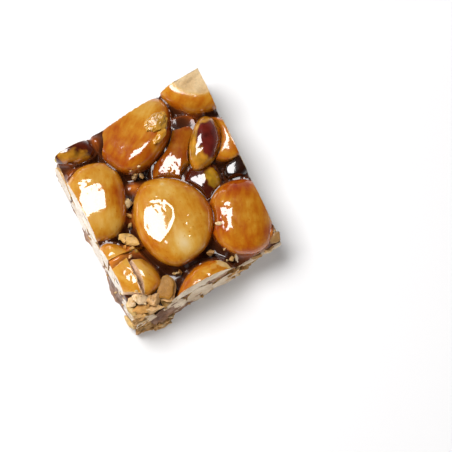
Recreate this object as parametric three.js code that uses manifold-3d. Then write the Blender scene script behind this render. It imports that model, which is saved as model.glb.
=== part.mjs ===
// Hard nougat: one hand-cut square of whole almonds and pistachios set in dark caramel.
// Millimetres, +Z up. The front is the cut side that faces -Y, and the origin is under the middle.
import * as THREE from 'three';
import { ImprovedNoise } from 'three/addons/math/ImprovedNoise.js';
import { mergeVertices } from 'three/addons/utils/BufferGeometryUtils.js';
import Module from 'manifold-3d';

const wasm = await Module();
wasm.setup();

// Slab: its corners seen from above, anticlockwise from the front left, as the knife left them
const CORNERS = {
  frontLeft: new THREE.Vector2(-22.2, -21.9),
  frontRight: new THREE.Vector2(17.1, -23),
  backRight: new THREE.Vector2(22.8, 24.1),
  backLeft: new THREE.Vector2(-18, 23.4),
};
const SIDES = ['front', 'right', 'back', 'left'];
const CARAMEL_LEVEL = 9; // caramel between the nuts, above the underside
const LEVEL_RELIEF = 0.5; // slow rise and fall of that level
const LEVEL_WAVE = 6; // and the distance over which it changes
const WALL_INSET = 0.5; // the caramel stands back from the cut faces of the nuts
const WALL_RELIEF = 0.5; // crags on the caramel's own cut sides
const CRAG = { wide: 2.6, high: 2.2 };
const LEAN = { side: 'left', by: 6.5, above: 11 }; // one cut leans out below this height, by degrees
const TALL = 40; // taller than anything in the slab, for the planes that trim the nuts
const GAP = 0.3; // clearance between neighbouring pieces
const POCKET_GAP = 0.55; // the same round a nut in the caramel, whose pockets have fewer sides
const CARAMEL_STEPS = { x: 15, y: 17, z: 4 };
const FINE = 3; // subdivision of the large nuts
const PLAIN = 2; // of the smaller ones and of the pockets round the large ones
const SMALL_NUT = 7; // a nut with a shorter radius than this ahead is a small one
const COARSE = 1; // of the other pockets and of the nuts on the right, back and left sides
const ROUND = 2; // power of an ellipse
const WELD = 1e-4; // vertices closer than this are one
const SHORTEST_EDGE = 0.05; // slivers left by a cut are closed up to this length

// Caramel that sagged out of the sides, strongest at the underside: distance along the side from its middle
const BULGES = [
  { side: 'front', at: -14, width: 5, depth: 1.4, height: 9 },
  { side: 'left', at: -4.5, width: 2.6, depth: 0.9, height: 8 },
  { side: 'left', at: 11.5, width: 4, depth: 1.1, height: 8 },
];
// Undercut at the right of the front side, as x from and to
const UNDERCUT = { from: 5, to: 14, depth: 3, height: 7 };

// Top nuts, the ones on top first. at is a nut's middle, turn its long axis about +Z in degrees, and ahead,
// behind, left and right the radii of its four quarters seen along that axis. boxy is the power of its
// superellipse outline, flat that of its profile and rise half its thickness. apex moves its highest point in
// plan. lean tips a nut towards a compass angle, both in degrees, and a half nut has a flat underside.
const TOP_NUTS = [
  { name: 'almond_centre', at: [-4.2, -5.3, 9.8], turn: 81, boxy: 1.9, flat: 2.25, rise: 4.2,
    ahead: 12.4, behind: 10.8, left: 7, right: 11.8, apex: [-0.7, -0.8] },
  { name: 'pistachio_right', at: [13.9, 7.9, 10.4], turn: 48, boxy: 2, rise: 3.5,
    ahead: 6.6, behind: 7.4, left: 2.9, right: 4.6 },
  { name: 'almond_back', at: [2.4, 17.3, 9], turn: 34, boxy: 1.9, flat: 3, rise: 4.2,
    ahead: 10.5, behind: 10.2, left: 12.5, right: 6.8, apex: [0, -0.5], lean: { toward: 108, by: 20 } },
  { name: 'almond_left', at: [-14.9, 8.4, 9.5], turn: 65, boxy: 2.5, flat: 2.3, rise: 4,
    ahead: 9.9, behind: 9.7, left: 7.9, right: 6.7, apex: [1, -0.2] },
  { name: 'almond_back_right', at: [20.5, 22.9, 9.4], turn: 27, boxy: 2.2, rise: 4.3,
    ahead: 9.5, behind: 8.6, left: 9, right: 9.2 },
  { name: 'almond_front_right', at: [13.2, -13.2, 9.5], turn: 65, boxy: 2.3, rise: 4.1,
    ahead: 9.4, behind: 9.6, left: 8.7, right: 6.6, apex: [-1.6, -0.6] },
  { name: 'almond_front', at: [-3.7, -23.6, 8.8], turn: 201, boxy: 2, rise: 3.9,
    ahead: 9.4, behind: 7.8, left: 6, right: 5.7, apex: [-1.5, 0], flatUnderside: 8.6 },
  { name: 'pistachio_back_left', at: [-13.1, 22.4, 9.4], turn: 158, boxy: 2, rise: 3.3,
    ahead: 5.9, behind: 5.8, left: 3.2, right: 3.1, lean: { toward: -21, by: 12 } },
  { name: 'almond_right', at: [17.5, 6.5, 9], turn: 95, boxy: 2.1, flat: 3.2, rise: 3.8,
    ahead: 6.3, behind: 6.1, left: 4.7, right: 4.6, apex: [1.3, -1.4] },
  { name: 'pistachio_middle', at: [9.5, -0.6, 8.9], turn: 62, boxy: 1.8, rise: 3,
    ahead: 5, behind: 4.9, left: 5.2, right: 4 },
  { name: 'almond_sunk', at: [7.1, 6.4, 8], turn: 49, boxy: 2.1, flat: 2.2, rise: 4,
    ahead: 11.8, behind: 9.6, left: 7.2, right: 3.4, apex: [-0.6, -1], lean: { toward: 50, by: 4 } },
  { name: 'pistachio_edge', at: [17.7, -2.4, 8.8], turn: 102, boxy: 2.2, flat: 3.2, rise: 3.2,
    ahead: 2.8, behind: 2.6, left: 3.5, right: 4.5, apex: [-0.5, 0.2] },
];

// One almond cracked under the knife: a piece broken off its back end, and two halves with a crack between,
// each of which tipped its own way
const SPLIT_NUT = { at: [-16.7, -9.1, 9.3], turn: 113, boxy: 2.5, rise: 4,
  ahead: 8.7, behind: 8.9, left: 7, right: 3.6, apex: [-0.5, -1.2] };
const SPLIT_PIECES = [
  { name: 'almond_split_back', lean: { toward: 100, by: 3 }, planes: [{ at: [-18, -6.4], facing: -97 }] },
  { name: 'almond_split_outer', lean: { toward: 140, by: 24 },
    planes: [{ at: [-18, -6.95], facing: 83 }, { at: [-17.1, -13.3], facing: -8 },
      { at: [-20.2, -15.5], facing: -131 }] },
  { name: 'almond_split_inner', lean: { toward: 165, by: 14 },
    planes: [{ at: [-15, -9], facing: 78 }, { at: [-16.6, -13.3], facing: 172 },
      { at: [-16.5, -13.3, 12.2], facing: 172, slope: 30 }] },
];

// The corner almond lost the top of its glaze: a slanted break through [x, y, z] that faces up and outwards
const BROKEN_TIP = { nut: 'almond_back_right', at: [18.8, 19.6, 12.8], facing: 38, slope: 84 };

// Lower nuts that the knife went through, from left to right along each side: distance along the side from
// its middle, height of the middle, half length and half height of what shows, and how far its cut leans back
const SIDE_NUTS = {
  front: [[-17.6, 5.1, 2.8, 4], [-9.8, 5, 3.3, 3.7], [-2.9, 4.6, 3.5, 4], [4.2, 3.7, 3.7, 2.7],
    [11.6, 8, 3.6, 2.8, 40], [17.4, 8.2, 3.2, 3, 35]],
  right: [[-15.4, 4.4, 4.2, 3.4], [-6.4, 4, 4.5, 3.1], [2.4, 4.6, 4.1, 3.6], [10.9, 3.9, 4.2, 3],
    [18.7, 4.1, 3.5, 3.1]],
  back: [[-15.4, 4.1, 4.4, 3.2], [-6.2, 3.9, 4.6, 3], [3.6, 4.2, 4.9, 3.3], [13.6, 4.4, 4.8, 3.4]],
  left: [[-17.8, 4.3, 4.3, 3.4], [-8.8, 3.9, 4.5, 2.9], [0.4, 4.2, 4.6, 3.3], [9.6, 3.9, 4.4, 3],
    [18.2, 4.6, 4, 3.6]],
};
const SIDE_NUT_DEPTH = 6.5; // how far a lower nut runs into the block
const SIDE_NUT_START = 1.2; // its middle lies this far behind the cut
const SIDE_NUT_TIP = 12; // largest tip of a lower nut, in degrees
const SIDE_NUT_BOXY = 2.3;

// Humps of caramel: middle, radius and height
const HUMPS = [
  { at: [-16.7, 18.6], radius: 2.4, height: 1.1 },
  { at: [-5.7, 7.3], radius: 1.7, height: 1.7 },
  { at: [-13.9, -6.9], radius: 2.2, height: 2.2 },
  { at: [-7.4, 21.6], radius: 2.2, height: 2.6 },
  { at: [-20.5, -20.8], radius: 4, height: -1.4 },
  { at: [11, -21.6], radius: 4.5, height: -0.9 },
  { at: [-17.6, -7], radius: 1.9, height: 1 },
  { at: [-20.2, -7], radius: 1.9, height: 0.9 },
];

// Chips and crumbs of nut that stuck to the caramel: middle, size, and turn and tip in degrees
const CHIPS = [
  { at: [-14.4, -2, 10], size: [2.8, 2, 2], turn: 150, tip: 10 },
  { at: [-13.5, -3.8, 10.6], size: [5.6, 2.9, 2.2], turn: 123, tip: 0 },
  { at: [-9.1, 4.3, 10.2], size: [2.7, 2.5, 2.6], turn: 20, tip: 0 },
  { at: [-12.2, -18.7, 10.6], size: [5.4, 3.9, 2.2], turn: 44, tip: -4 },
  { at: [-18.9, -18, 10.6], size: [4.2, 3, 3.2], turn: -31, tip: 6 },
  { at: [-16.4, -19.9, 10.4], size: [4, 3.4, 3.2], turn: -12, tip: 10 },
  { at: [-16.9, -21.1, 9.3], size: [4.6, 2.6, 3.4], turn: -4, tip: 0 },
  { at: [-19.8, -19.8, 9.6], size: [4.6, 2.8, 2.8], turn: -31, tip: -6 },
  { at: [-20.6, -20.9, 8.4], size: [3.6, 2.4, 3], turn: 10, tip: 0 },
  { at: [-20.9, -17.2, 9.6], size: [2.9, 2.5, 2.6], turn: 60, tip: 0 },
  { at: [-21.4, -18.6, 9], size: [3.8, 2.4, 2.6], turn: 97, tip: 0 },
  { at: [-4, 9.6, 9.6], size: [2.2, 1.5, 1.4], turn: 30, tip: 0 },
  { at: [-2.2, 9.2, 9.3], size: [1.6, 1.3, 1.2], turn: 70, tip: 0 },
  { at: [1.4, -16.6, 9.3], size: [2.2, 1.6, 1.4], turn: 15, tip: 0 },
  { at: [4.9, -20.9, 9.2], size: [1.6, 1.3, 1.2], turn: 40, tip: 0 },
];
// Two more lie on the glaze of the almond at the back
const GLAZE_CHIPS = {
  nut: 'almond_back',
  chips: [
    { at: [6.9, 17.2, 12.8], size: [6.2, 4, 2.4], turn: 8, tip: 8 },
    { at: [5.8, 13.8, 13.2], size: [4.6, 1.9, 1.9], turn: 22, tip: 4 },
  ],
};
const CHIP_RAGGEDNESS = 0.22; // share of a chip's size that its corners wander

// Colours and finish
const GLAZED_ALMOND = { color: 0xc9822a, roughness: 0.18, metalness: 0 };
const GLAZED_PISTACHIO = { color: 0x7a4a2a, roughness: 0.2, metalness: 0 };
const CUT_NUT = { color: 0xc4a57c, roughness: 0.7, metalness: 0 };
const CARAMEL = { color: 0x3a190c, roughness: 0.15, metalness: 0 };

const noise = new ImprovedNoise();
const group = new THREE.Group();

// A closed three.js geometry as a solid that can be joined and cut
function solid(geometry) {
  geometry.deleteAttribute('normal');
  geometry.deleteAttribute('uv');
  const merged = mergeVertices(geometry, WELD);
  return new wasm.Manifold(new wasm.Mesh({
    numProp: 3,
    vertProperties: merged.attributes.position.array,
    triVerts: new Uint32Array(merged.index.array),
  }));
}

function largestBody(shape) {
  const bodies = shape.decompose();
  return bodies.reduce((best, body) => (body.volume() > best.volume() ? body : best));
}

function addMesh(name, shape, finish) {
  const cleaned = largestBody(shape.simplify(SHORTEST_EDGE)).getMesh();
  const geometry = new THREE.BufferGeometry();
  geometry.setAttribute('position', new THREE.BufferAttribute(cleaned.vertProperties, 3));
  geometry.setIndex(new THREE.BufferAttribute(cleaned.triVerts, 1));
  geometry.computeVertexNormals();
  const mesh = new THREE.Mesh(geometry, new THREE.MeshStandardMaterial(finish));
  mesh.name = name;
  group.add(mesh);
}

// Moves every vertex of a geometry by a function of where it is
function deform(geometry, move) {
  const position = geometry.attributes.position;
  const point = new THREE.Vector3();
  for (let i = 0; i < position.count; i += 1) {
    move(point.fromBufferAttribute(position, i));
    position.setXYZ(i, point.x, point.y, point.z);
  }
  return geometry;
}

// One side of the slab: its two corners, its direction and the way out of the block
function sideFrame(side) {
  const ring = Object.values(CORNERS);
  const start = ring[SIDES.indexOf(side)];
  const end = ring[(SIDES.indexOf(side) + 1) % ring.length];
  const along = end.clone().sub(start).normalize();
  const outward = new THREE.Vector2(along.y, -along.x);
  const middle = start.clone().add(end).multiplyScalar(0.5);
  return { start, end, along, outward, middle };
}

// All that lies behind a plane: facing is its compass angle, and slope lifts the way it faces
function halfSpace([x, y, z = 0], facing, slope = 0) {
  const reach = 2 * TALL;
  const box = new THREE.BoxGeometry(reach, reach, reach);
  box.translate(-reach / 2, 0, 0);
  box.rotateY(-THREE.MathUtils.degToRad(slope));
  box.rotateZ(THREE.MathUtils.degToRad(facing));
  box.translate(x, y, z);
  return solid(box);
}

function leanOf(side) {
  return side === LEAN.side ? LEAN.by : 0;
}

// All that lies within the four cut sides, which trims the nuts
function slabPrism() {
  const behindCuts = SIDES.map((side) => {
    const { middle, outward } = sideFrame(side);
    const facing = THREE.MathUtils.radToDeg(outward.angle());
    return halfSpace([middle.x, middle.y, LEAN.above], facing, leanOf(side));
  });
  return behindCuts.reduce((rest, shape) => rest.intersect(shape));
}

function leanGeometry(geometry, { toward, by }) {
  const facing = THREE.MathUtils.degToRad(toward);
  geometry.rotateZ(-facing);
  geometry.rotateY(THREE.MathUtils.degToRad(by));
  geometry.rotateZ(facing);
}

// Nut: a sphere drawn out to four different quarter radii, on a superellipse outline and profile
function nutSolid(nut, detail, grow = 0) {
  const power = 2 / nut.boxy;
  const profile = 2 / (nut.flat ?? ROUND);
  const [shiftX, shiftY] = nut.apex ?? [0, 0];
  const geometry = deform(new THREE.IcosahedronGeometry(1, detail), (point) => {
    const reach = Math.hypot(point.x, point.y);
    const cosine = reach > 0 ? point.x / reach : 1;
    const sine = reach > 0 ? point.y / reach : 0;
    const lengthways = (cosine > 0 ? nut.ahead : nut.behind) + grow;
    const crossways = (sine > 0 ? nut.left : nut.right) + grow;
    const outwards = reach ** profile;
    point.set(
      outwards * lengthways * Math.sign(cosine) * Math.abs(cosine) ** power,
      outwards * crossways * Math.sign(sine) * Math.abs(sine) ** power,
      Math.sign(point.z) * Math.abs(point.z) ** profile * (nut.rise + grow),
    );
  });
  geometry.rotateX(THREE.MathUtils.degToRad(nut.tip ?? 0));
  geometry.rotateZ(THREE.MathUtils.degToRad(nut.turn));
  if (nut.lean) leanGeometry(geometry, nut.lean);
  deform(geometry, (point) => {
    const lift = THREE.MathUtils.clamp(point.z / nut.rise, 0, 1);
    point.x += lift * shiftX;
    point.y += lift * shiftY;
  });
  geometry.translate(...nut.at);
  return solid(geometry);
}

// Chip: a few-sided lump whose corners wander
function chipSolid({ at, size, turn, tip }, seed) {
  const geometry = deform(new THREE.IcosahedronGeometry(0.5, 0), (point) => {
    const wander = noise.noise(point.x * 3 + seed * 7.3, point.y * 3, point.z * 3 + seed * 1.7);
    point.multiplyScalar(1 + CHIP_RAGGEDNESS * 2 * wander);
    point.multiply(new THREE.Vector3(...size));
  });
  geometry.rotateY(THREE.MathUtils.degToRad(tip));
  geometry.rotateZ(THREE.MathUtils.degToRad(turn));
  geometry.translate(...at);
  return solid(geometry);
}

function caramelHeight(x, y) {
  const slow = LEVEL_RELIEF * noise.noise(x / LEVEL_WAVE, y / LEVEL_WAVE, 0.5);
  const humps = HUMPS.map(({ at, radius, height }) => {
    const away = Math.hypot(x - at[0], y - at[1]) / radius;
    return height * Math.exp(-away * away);
  });
  return CARAMEL_LEVEL + slow + humps.reduce((sum, hump) => sum + hump, 0);
}

// How far the caramel's cut side stands out of its plane
function wallOffset(side, x, y, z) {
  const crags = WALL_RELIEF * noise.noise(x / CRAG.wide, y / CRAG.wide, z / CRAG.high);
  const { middle, along } = sideFrame(side);
  const place = new THREE.Vector2(x, y).sub(middle).dot(along);
  const bulges = BULGES.filter((bulge) => bulge.side === side).map(({ at, width, depth, height }) => {
    const away = (place - at) / width;
    return depth * Math.exp(-away * away) * Math.max(0, 1 - z / height);
  });
  const under = side === 'front' ? THREE.MathUtils.smoothstep(x, UNDERCUT.from, UNDERCUT.to) : 0;
  const undercut = UNDERCUT.depth * under * Math.max(0, 1 - z / UNDERCUT.height);
  const leaning = (LEAN.above - z) * Math.tan(THREE.MathUtils.degToRad(leanOf(side)));
  return bulges.reduce((sum, bulge) => sum + bulge, crags) - undercut + leaning;
}

// Caramel block: a box whose corners, top and walls follow the slab
function caramelSolid() {
  const { frontLeft, frontRight, backRight, backLeft } = CORNERS;
  const box = new THREE.BoxGeometry(1, 1, 1, CARAMEL_STEPS.x, CARAMEL_STEPS.y, CARAMEL_STEPS.z);
  deform(box, (point) => {
    const [u, v, w] = point.addScalar(0.5).toArray();
    const front = frontLeft.clone().lerp(frontRight, u);
    const back = backLeft.clone().lerp(backRight, u);
    const plan = front.lerp(back, v);
    const { x, y } = plan;
    const z = w * caramelHeight(x, y);
    const onSide = { front: v === 0, right: u === 1, back: v === 1, left: u === 0 };
    for (const side of SIDES.filter((name) => onSide[name])) {
      plan.addScaledVector(sideFrame(side).outward, wallOffset(side, x, y, z) - WALL_INSET);
    }
    point.set(plan.x, plan.y, z);
  });
  return solid(box);
}

// A lower nut at a cut side, as a nut whose width runs along the side and whose length runs into the block
function sideNut(side, [along, height, halfLength, halfHeight, slant], index) {
  const frame = sideFrame(side);
  const middle = frame.middle.clone().addScaledVector(frame.along, along);
  middle.addScaledVector(frame.outward, -SIDE_NUT_START);
  const seed = SIDES.indexOf(side) * 10 + index;
  return {
    name: `${side}_nut_${index + 1}`,
    at: [middle.x, middle.y, height],
    turn: THREE.MathUtils.radToDeg(frame.along.angle()),
    tip: SIDE_NUT_TIP * noise.noise(seed * 0.37, 2.4, 0.8),
    boxy: SIDE_NUT_BOXY,
    rise: halfHeight,
    ahead: halfLength,
    behind: halfLength,
    left: SIDE_NUT_DEPTH,
    right: SIDE_NUT_DEPTH,
    slantedCut: slant && { facing: THREE.MathUtils.radToDeg(frame.outward.angle()), slope: slant },
  };
}

const prism = slabPrism();
const placed = []; // nuts already made, as grown solids that the later pieces keep clear of
const pockets = []; // the same with fewer sides, for the caramel

function clearOf(shape, others) {
  return others.reduce((rest, other) => rest.subtract(other), shape);
}

function flattened(shape, { flatUnderside }, gap = 0) {
  return flatUnderside ? shape.intersect(halfSpace([0, 0, flatUnderside - gap], 0, -90)) : shape;
}

function reserve(nut, detail) {
  placed.push(flattened(nutSolid(nut, detail, GAP), nut, GAP));
  pockets.push(flattened(nutSolid(nut, detail - 1, POCKET_GAP), nut, POCKET_GAP));
}

// Whole and half nuts on top, trimmed by the cut sides
for (const nut of TOP_NUTS) {
  const isAlmond = nut.name.startsWith('almond');
  const detail = nut.ahead > SMALL_NUT ? FINE : PLAIN;
  let shape = flattened(clearOf(nutSolid(nut, detail).intersect(prism), placed), nut);
  if (nut.name === BROKEN_TIP.nut) {
    shape = shape.intersect(halfSpace(BROKEN_TIP.at, BROKEN_TIP.facing, BROKEN_TIP.slope));
  }
  if (nut.name === GLAZE_CHIPS.nut) {
    GLAZE_CHIPS.chips.forEach((chip, index) => {
      shape = shape.add(chipSolid(chip, CHIPS.length + index));
    });
  }
  addMesh(nut.name, shape, isAlmond ? GLAZED_ALMOND : GLAZED_PISTACHIO);
  reserve(nut, detail);
}

// The cracked almond
const splitNuts = SPLIT_PIECES.map(({ lean }) => ({ ...SPLIT_NUT, lean }));
SPLIT_PIECES.forEach(({ name, planes }, index) => {
  const whole = clearOf(nutSolid(splitNuts[index], FINE).intersect(prism), placed);
  const behindPlanes = planes.map(({ at, facing, slope }) => halfSpace(at, facing, slope));
  addMesh(name, behindPlanes.reduce((rest, shape) => rest.intersect(shape), whole), GLAZED_ALMOND);
});
splitNuts.forEach((nut) => reserve(nut, PLAIN));

// Lower nuts round the four sides
for (const side of SIDES) {
  const detail = side === 'front' ? PLAIN : COARSE;
  SIDE_NUTS[side].forEach((row, index) => {
    const nut = sideNut(side, row, index);
    let shape = clearOf(nutSolid(nut, detail).intersect(prism), placed);
    if (nut.slantedCut) {
      const { facing, slope } = nut.slantedCut;
      shape = shape.intersect(halfSpace(nut.at, facing, slope));
    }
    addMesh(nut.name, shape, CUT_NUT);
    reserve(nut, PLAIN);
  });
}

// Caramel with the chips that stuck to it, hollowed for the nuts
const chipped = CHIPS.reduce((rest, chip, seed) => rest.add(chipSolid(chip, seed)), caramelSolid());
addMesh('caramel', clearOf(chipped, pockets), CARAMEL);

// The origin is on the underside, in the middle of the whole outline
const outline = new THREE.Box3().setFromObject(group);
const centre = outline.getCenter(new THREE.Vector3());
group.children.forEach((mesh) => mesh.geometry.translate(-centre.x, -centre.y, -outline.min.z));

export default group;
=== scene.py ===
"""Looks of a hand-cut square of hard nougat: glazed almonds and pistachios set in dark caramel.

Lengths are millimetres in the plan of the solids until a mesh is made, and +Z is up. Turns and compass angles
are degrees, anticlockwise from +X.
"""
import itertools
from math import atan2, cos, degrees, pi, radians, sin, tan

import bmesh
import bpy
import numpy as np
from mathutils import Matrix, Vector


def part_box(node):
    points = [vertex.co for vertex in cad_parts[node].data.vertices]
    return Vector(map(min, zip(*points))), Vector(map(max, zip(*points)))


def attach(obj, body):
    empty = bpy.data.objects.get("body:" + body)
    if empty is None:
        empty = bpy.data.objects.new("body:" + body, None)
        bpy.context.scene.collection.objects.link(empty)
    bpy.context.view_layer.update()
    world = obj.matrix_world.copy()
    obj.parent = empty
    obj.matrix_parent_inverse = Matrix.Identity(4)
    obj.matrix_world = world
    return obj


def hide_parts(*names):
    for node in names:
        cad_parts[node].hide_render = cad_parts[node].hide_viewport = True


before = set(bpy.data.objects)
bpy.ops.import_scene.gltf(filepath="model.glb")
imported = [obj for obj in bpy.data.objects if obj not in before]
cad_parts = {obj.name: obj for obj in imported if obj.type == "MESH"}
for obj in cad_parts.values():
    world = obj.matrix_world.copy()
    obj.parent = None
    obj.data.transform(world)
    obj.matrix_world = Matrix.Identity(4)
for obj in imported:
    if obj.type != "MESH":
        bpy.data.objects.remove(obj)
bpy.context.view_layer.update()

MM = 0.001

# Slab
CORNERS = {
    "front_left": (-22.2, -21.9),
    "front_right": (17.1, -23),
    "back_right": (22.8, 24.1),
    "back_left": (-18, 23.4),
}
SIDES = ("front", "right", "back", "left")
# Degrees by which each side leans out downwards, and the height where it meets the line of the corners
SIDE_LEAN = {"front": 0, "right": 0, "back": 0, "left": 6.5}
LEAN_HEIGHT = 11
ABOVE_FLOOR = 0.05
# Where the frame has the plan's zero
BACK_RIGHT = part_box("almond_back_right")[1]
SHIFT = np.array([*(np.array(BACK_RIGHT.xy) / MM - CORNERS["back_right"]), 0])

# Colours as they look in the scene, and how much brighter than its paint the light makes a surface
LIGHT_GAIN = 1.4
ALMOND = (236, 212, 165)
CREAM = (232, 208, 172)
TAN = (206, 172, 128)
TOASTED = (170, 122, 74)
GOLD = (226, 172, 104)
CHUNK = (224, 180, 128)
CHIP_PALE = (250, 222, 190)
HUSK = (234, 198, 142)
LAYER = (210, 170, 118)
LAYER_DARK = (180, 140, 92)
PLATE = (188, 149, 94)
PISTACHIO_SKIN = (108, 34, 38)
PISTACHIO_DARK = (42, 20, 14)
PISTACHIO_BROWN = (84, 30, 14)
PISTACHIO_GREEN = (184, 150, 50)
PISTACHIO_OLIVE = (206, 160, 70)
PISTACHIO_PALE = (216, 170, 76)
# Pale and dark colours of what isn't glazed. The left side's are paler: painted light and sheen where the
# lamp falls on that side.
CUT = ((238, 223, 202), (208, 185, 158))
LEFT_CUT_PAINTED_LIGHT = ((250, 245, 240), (226, 212, 194))
PISTACHIO_CUT = ((206, 192, 104), (166, 150, 66))
RAW = ((228, 200, 154), (204, 166, 114))
BREAK = ((250, 212, 178), (220, 178, 138))
# The caramel wall's colours are partly its own and partly painted sheen, a grey cast standing in for light
# glancing off the rough wall.
CARAMEL_WALL_AND_SHEEN = ((174, 134, 108), (114, 80, 62))
# Caramel from its thinnest to its deepest
CARAMEL_TONES = ((206, 124, 44), (150, 74, 24), (84, 42, 20), (38, 18, 11))
# What one unit of glaze lets through, and what is added so that the thickest isn't black
GLAZE_CLEAR = (0.755, 0.425, 0.055)
DEEPEST = (30, 14, 9)
DEEPEST_GAIN = 2.5

# Kinds of noise: mean, height, length, seed and layers, each half as long and high as the one before
WAVES = {
    "glaze_lumps": (0, 0.16, 5.5, 21, 1),
    "glaze_dents": (0, 0.05, 2.1, 41, 1),
    "glaze_ripples": (0, 0.012, 0.9, 61, 1),
    "glaze_wrinkles": (0, 1, 1.3, 71, 2),
    "raw_edge": (0, 0.3, 1.1, 301, 3),
    "almond_tone": (0.5, 0.5, 7, 5, 3),
    "skin_edge": (0, 0.8, 2, 11, 3),
    "skin_mottle": (0.95, 0.4, 1.5, 17, 3),
    "cut_tone": (0.25, 0.6, 2.4, 207, 3),
    "break_steps": (0, 0.2, 2, 81, 4),
    "break_cracks": (0, 1, 2.4, 91, 1),
    "knife_lines": (0, 0.16, 1.1, 3, 3),
    "knife_hollows": (0.2, 1, 1.7, 5, 1),
    "side_nut_size": (1, 0.17, 0.6, 0, 4),
    "side_nut_tone": (0.5, 0.5, 3, 7, 3),
    "caramel_swells": (0, 0.45, 6, 3, 1),
    "caramel_dents": (0, 0.22, 1.9, 7, 1),
    "caramel_ripples": (0, 0.04, 0.8, 9, 1),
    "caramel_depth": (0.95, 0.15, 4, 33, 1),
    "wall_crags": (0, 0.45, 2.4, 15, 4),
    "wall_bare": (0.5, 0.5, 2.2, 37, 3),
    "wall_tone": (0.5, 0.8, 2.6, 39, 3),
    "lump_size": (1, 0.24, 0.7, 0, 4),
    "flake_size": (1, 0.07, 0.6, 0, 3),
    "plate_edge": (0, 0.1, 0.5, 0, 3),
    "chip_tone": (0.25, 0.6, 1.4, 51, 3),
}
# Large numbers that scatter the cells of the noise, and how far each seed moves it
SCATTER = (73856093, 19349663, 83492791)
SEED_SCATTER = 2971215073
MIXER = 1274126177
SEED_STEP = 13.7
TINY = 1e-9


def linear(colour):
    """Linear light of an sRGB colour."""
    seen = np.asarray(colour, float) / 255
    return np.where(seen <= 0.04045, seen / 12.92, ((seen + 0.055) / 1.055) ** 2.4)


def paint(colour):
    return linear(colour) / LIGHT_GAIN


def blend(first, second, share):
    return first + (second - first) * np.asarray(share)[:, None]


def shaded(colours, tone):
    pale, dark = colours
    return blend(paint(pale), paint(dark), tone)


def smoothstep(low, high, value):
    t = np.clip((value - low) / (high - low), 0, 1)
    return t * t * (3 - 2 * t)


def noise(points, length, seed):
    """Smooth noise between -1 and 1."""
    place = np.asarray(points, float) / length + SEED_STEP * seed
    cell = np.floor(place).astype(np.int64)
    part = place - cell
    part = part * part * (3 - 2 * part)
    total = np.zeros(len(place))
    for corner in itertools.product((0, 1), repeat=3):
        i, j, k = ((cell + corner) * SCATTER).T
        mixed = i ^ j ^ k ^ (seed * SEED_SCATTER)
        mixed = (mixed ^ (mixed >> 13)) * MIXER & 0x7FFFFFFF
        mixed = mixed ^ (mixed >> 15)
        share = np.prod(np.where(corner, part, 1 - part), axis=1)
        total += share * ((mixed & 0xFFFF) / 32767.5 - 1)
    return total


def rough(points, length, seed, layers):
    return sum(noise(points, length / 2 ** n, seed + n) / 2 ** n for n in range(layers))


def waves(points, kind, seed=0):
    mean, height, length, first_seed, layers = WAVES[kind]
    return mean + height * rough(points, length, first_seed + seed, layers)


def tone_of(points, kind, seed=0):
    return np.clip(waves(points, kind, seed), 0, 1)


def spot(points, x, y, radius):
    """One at a place seen from above, fading away round it."""
    return np.exp(-((points[:, 0] - x) ** 2 + (points[:, 1] - y) ** 2) / radius ** 2)


def turn_z(angle):
    return np.array(Matrix.Rotation(radians(angle), 3, "Z"))


def turn_y(angle):
    return np.array(Matrix.Rotation(radians(angle), 3, "Y"))


def compass(direction):
    return degrees(atan2(direction[1], direction[0]))


def side_frame(side):
    """Start of a side, its direction, the way out of the slab and its middle, seen from above."""
    ring = [np.array(corner, float) for corner in CORNERS.values()]
    start = ring[SIDES.index(side)]
    end = ring[(SIDES.index(side) + 1) % len(ring)]
    along = (end - start) / np.linalg.norm(end - start)
    outward = np.array([along[1], -along[0]])
    return start, along, outward, (start + end) / 2


def side_plane(side):
    start, _, outward, _ = side_frame(side)
    lean = radians(SIDE_LEAN[side])
    return np.array([*start, LEAN_HEIGHT]), np.array([*(outward * cos(lean)), sin(lean)])


def tilted_plane(at, facing, slope=0):
    a, b = radians(facing), radians(slope)
    normal = np.array([cos(a) * cos(b), sin(a) * cos(b), sin(b)])
    return np.array([*at, 0.0][:3]), normal


SIDE_PLANES = {side: side_plane(side) for side in SIDES}


def grid_quads(index):
    return np.stack([index[:-1, :-1], index[1:, :-1], index[1:, 1:], index[:-1, 1:]], -1).reshape(-1, 4)


def sphere(steps):
    """Unit sphere of six square grids: points and outward quads."""
    line = np.tan(np.linspace(-pi / 4, pi / 4, steps + 1))
    a, b = np.meshgrid(line, line, indexing="ij")
    one = np.ones_like(a)
    grids = ((one, a, b), (-one, b, a), (b, one, a), (a, -one, b), (a, b, one), (b, a, -one))
    points = np.concatenate([np.stack(grid, -1).reshape(-1, 3) for grid in grids])
    quad = grid_quads(np.arange(a.size).reshape(a.shape))
    quads = np.concatenate([quad + n * a.size for n in range(len(grids))])
    _, first, inverse = np.unique(np.round(points, 6), axis=0, return_index=True, return_inverse=True)
    points = points[first]
    return points / np.linalg.norm(points, axis=1, keepdims=True), inverse.reshape(-1)[quads]


COARSE_BALL = sphere(26)
SMALL_BALL = sphere(36)
FINE_BALL = sphere(48)
FINEST_BALL = sphere(84)


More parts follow.
